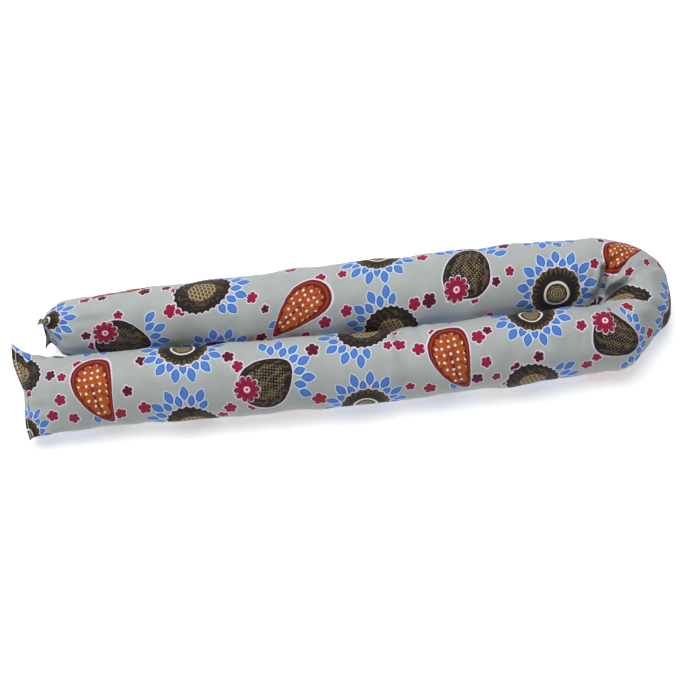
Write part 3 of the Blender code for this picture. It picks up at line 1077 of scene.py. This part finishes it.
def bud_ring(colour, radius, angle, spread, column, row):
    """Buds round a large motif, on the side that its leaves leave free."""
    pitch = 2 * math.pi / BUDS_ROUND
    number = maths("ROUND", angle / pitch)
    chance = chances(column + number * 0.1, row, BUD_SEED)
    off = angle - number * pitch
    x = radius * maths("COSINE", off) - BUD_RING + chance[0] * 4.0
    y = radius * maths("SINE", off) + (chance[1] - 0.5) * 6.0
    free = maths("GREATER_THAN", abs(number) * pitch, spread + math.radians(BUD_CLEAR))
    size = maths("MULTIPLY_ADD", chance[2], 3.0, 4.8) * free * maths("LESS_THAN", chance[0], BUD_CHANCE)
    away = maths("MULTIPLY_ADD", free * maths("LESS_THAN", chance[0], BUD_CHANCE), -99.0, 99.0)
    shade = maths("GREATER_THAN", chance[1], 0.4)
    return buds(colour, distance_of(x, y) + away, maths("ARCTAN2", y, x) + chance[2] * 6.0, size, shade)


def dots_over(p, q):
    """The distance to the nearest of a field of slightly uneven dots, in shares of their spacing."""
    node = p.tree.nodes.new("ShaderNodeTexVoronoi")
    node.voronoi_dimensions = "2D"
    node.inputs["Scale"].default_value = 1 / DOT_STEP
    node.inputs["Randomness"].default_value = 0.3
    p.tree.links.new(vector_of(p, q), node.inputs["Vector"])
    return Value(p.tree, node.outputs["Distance"])


def print_colour(u, v):
    """The printed colour at each place of the cloth."""
    tree = u.tree
    wobble = parts_of(tree, noise(u, v, WOBBLE_SCALE))
    mottle = parts_of(tree, noise(u, v, 0.05, detail=4.0, seed=7.0))
    colour = mixed(GROUND_DARK, GROUND, maths("MULTIPLY_ADD", mottle[0], 3.0, -0.8, clamp=True))
    colour = scattered(colour, u, v)

    column = maths("ROUND", u / COLUMN_STEP)
    shifted = v - maths("PINGPONG", column, 1.0) * (ROW_STEP / 2)
    row = maths("ROUND", shifted / ROW_STEP)
    chance = chances(column, row, MOTIF_SEED)
    x = u - column * COLUMN_STEP + (chance[0] - 0.5) * (2 * COLUMN_JITTER)
    y = shifted - row * ROW_STEP + (chance[1] - 0.5) * (2 * ROW_JITTER)
    x = x + (wobble[0] - 0.5) * WOBBLE
    y = y + (wobble[1] - 0.5) * WOBBLE
    turn = chance[2] * (2 * math.pi)
    sine = maths("SINE", turn)
    cosine = maths("COSINE", turn)
    p = x * cosine + y * sine
    q = y * cosine - x * sine
    radius = distance_of(p, q)
    angle = maths("ARCTAN2", q, p)
    kind = maths("FLOORED_MODULO", column + row * 2.0, 4.0)

    leafy = (ASTER, CONE, FIG)
    spread = sum((is_kind(kind, k) * math.radians(LEAF_SPREAD[k]) for k in leafy), start=0.0)
    colour = bud_ring(colour, radius, angle, spread, column, row)
    leaves = maths("MINIMUM", *(leaf_ring(radius, angle, spread, ring) for ring in LEAF_RINGS))
    shade = mixed(LEAF_BLUE, LEAF_DEEP, inside(-0.9 - leaves, 1.4))
    colour = mixed(colour, LEAF_OUTLINE, inside(leaves - LEAF_HALO))
    colour = mixed(colour, shade, inside(leaves))

    bodies = (
        (ASTER, *aster(radius, angle, wobble[2])),
        (PAISLEY, *paisley(p, q, mottle[1], dots_over(p, q))),
        (CONE, *cone(p, q, wobble[2])),
        (FIG, *fig(p, q, wobble[2])),
    )
    edge = 0.0
    body = BROWN_DARK
    for wanted, distance, paints in bodies:
        here = is_kind(kind, wanted)
        edge = distance * here + edge
        body = mixed(body, paints, here)
    colour = mixed(colour, HALO, inside(edge - MOTIF_HALO))
    return mixed(colour, body, inside(edge))


# The plain cloth: how it takes the light, and the weave's step and depth, with the stitches standing higher.
CLOTH_LOOK = {"Roughness": 0.86, "Sheen Weight": 0.08, "Specular IOR Level": 0.3}
WEAVE_STEP = 0.62
WEAVE_STRENGTH = 0.5
WEAVE_DEEP = 0.00006
STITCH_HIGH = 3.0


def stitches(u, v, cloth_long):
    """How far each place is covered by a stitch of the two hems."""
    to_end = maths("MINIMUM", u, cloth_long - u)
    off_line = abs(to_end - HEM_WIDE) - STITCH_WIDE / 2
    along = maths("FRACT", v / STITCH_LONG) - 0.5
    off_end = (abs(along) - 0.37) * STITCH_LONG
    return inside(off_line, 0.2) * inside(off_end, 0.3)


def new_material(name, look):
    """A new material with these values on its shader, and the shader."""
    material = bpy.data.materials.new(name)
    material.use_nodes = True
    shader = material.node_tree.nodes["Principled BSDF"]
    for socket, value in look.items():
        shader.inputs[socket].default_value = value
    return material, shader


def printed_cotton(cloth_long):
    """The cloth's material: the print, the weave, and the thread of the end seams."""
    material, shader = new_material("printed_cotton", CLOTH_LOOK)
    tree = material.node_tree
    place = tree.nodes.new("ShaderNodeUVMap")
    place.uv_map = CLOTH_MAP
    u, v, _ = parts_of(tree, place.outputs["UV"])
    thread_share = stitches(u, v, cloth_long)
    colour = mixed(print_colour(u, v), THREAD, thread_share)
    tree.links.new(colour, shader.inputs["Base Color"])
    thread = 2 * math.pi / WEAVE_STEP
    weave = maths("SINE", u * thread) * maths("SINE", v * thread) + thread_share * STITCH_HIGH
    bump = tree.nodes.new("ShaderNodeBump")
    bump.inputs["Strength"].default_value = WEAVE_STRENGTH
    bump.inputs["Distance"].default_value = WEAVE_DEEP
    tree.links.new(weave.socket, bump.inputs["Height"])
    tree.links.new(bump.outputs["Normal"], shader.inputs["Normal"])
    return material


def make_cover():
    """The cover, with its cloth map and its material."""
    tube, base, points = cloth_points()
    points = moved_over_frame(base, points)
    rings, count = points.shape[:2]
    mesh = bpy.data.meshes.new("printed_cover")
    mesh.from_pydata((points.reshape(-1, 3) / 1000).tolist(), [], tube_faces(rings, count))
    mesh.update()
    mesh.shade_smooth()
    pairs = cloth_map(tube, base)
    lay_cloth_map(mesh, pairs, count)
    mesh.materials.append(printed_cotton(pairs[-1][1][0]))
    return placed("printed_cover", mesh)


def make_camera():
    """The camera, where the photograph was taken from."""
    yaw = math.radians(CAMERA_YAW)
    elevation = math.radians(CAMERA_ELEVATION)
    right = Vector((math.cos(yaw), math.sin(yaw), 0))
    level = math.cos(elevation)
    back = Vector((math.sin(yaw) * level, -math.cos(yaw) * level, math.sin(elevation)))
    up = back.cross(right)
    data = bpy.data.cameras.new("camera")
    data.lens = CAMERA_LENS
    data.sensor_width = CAMERA_SENSOR
    data.sensor_height = CAMERA_SENSOR
    camera = placed("camera", data)
    turn = Matrix((right, up, back)).transposed().to_4x4()
    camera.matrix_world = Matrix.Translation((Vector(AIM) + back * CAMERA_DISTANCE) / 1000) @ turn
    bpy.context.scene.camera = camera


# The stage, in metres and watts: a pale floor that gives a little light of its own, a wide lamp high behind
# the object, and a weak one in front.
FLOOR_REACH = 6.0
FLOOR_LOOK = {
    "Base Color": (0.96, 0.96, 0.95, 1),
    "Roughness": 0.9,
    "Emission Color": (0.97, 0.98, 1.0, 1),
    "Emission Strength": 0.46,
}
AIR_LIGHT = (0.94, 0.97, 1.0, 1)
AIR_LIGHT_STRENGTH = 0.12
Lamp = namedtuple("Lamp", "name place size power")
LAMPS = (
    Lamp("key", place=(-0.35, 0.64, 2.2), size=1.7, power=54),
    Lamp("fill", place=(0.2, -1.5, 1.6), size=1.4, power=1.4),
)


def make_lamp(name, place, size, power):
    """A square soft lamp over the object, turned to it."""
    data = bpy.data.lights.new(name, "AREA")
    data.shape = "SQUARE"
    data.size = size
    data.energy = power
    lamp = placed(name, data)
    lamp.location = place
    lamp.rotation_euler = (-Vector(place)).to_track_quat("-Z", "Y").to_euler()


def make_stage():
    """The floor, the lamps and the light of the air round them."""
    mesh = bpy.data.meshes.new("floor")
    size = FLOOR_REACH
    corners = [(-size, -size, 0), (size, -size, 0), (size, size, 0), (-size, size, 0)]
    mesh.from_pydata(corners, [], [(0, 1, 2, 3)])
    floor = placed("floor", mesh)
    material, _ = new_material("floor_paper", FLOOR_LOOK)
    mesh.materials.append(material)
    for lamp in LAMPS:
        make_lamp(*lamp)
    world = bpy.data.worlds.new("studio")
    world.use_nodes = True
    background = world.node_tree.nodes["Background"]
    background.inputs["Color"].default_value = AIR_LIGHT
    background.inputs["Strength"].default_value = AIR_LIGHT_STRENGTH
    bpy.context.scene.world = world
    bpy.context.scene.view_settings.view_transform = "Standard"


make_camera()
make_stage()
cover = make_cover()
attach(cover, "root")
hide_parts("stuffed_tube")
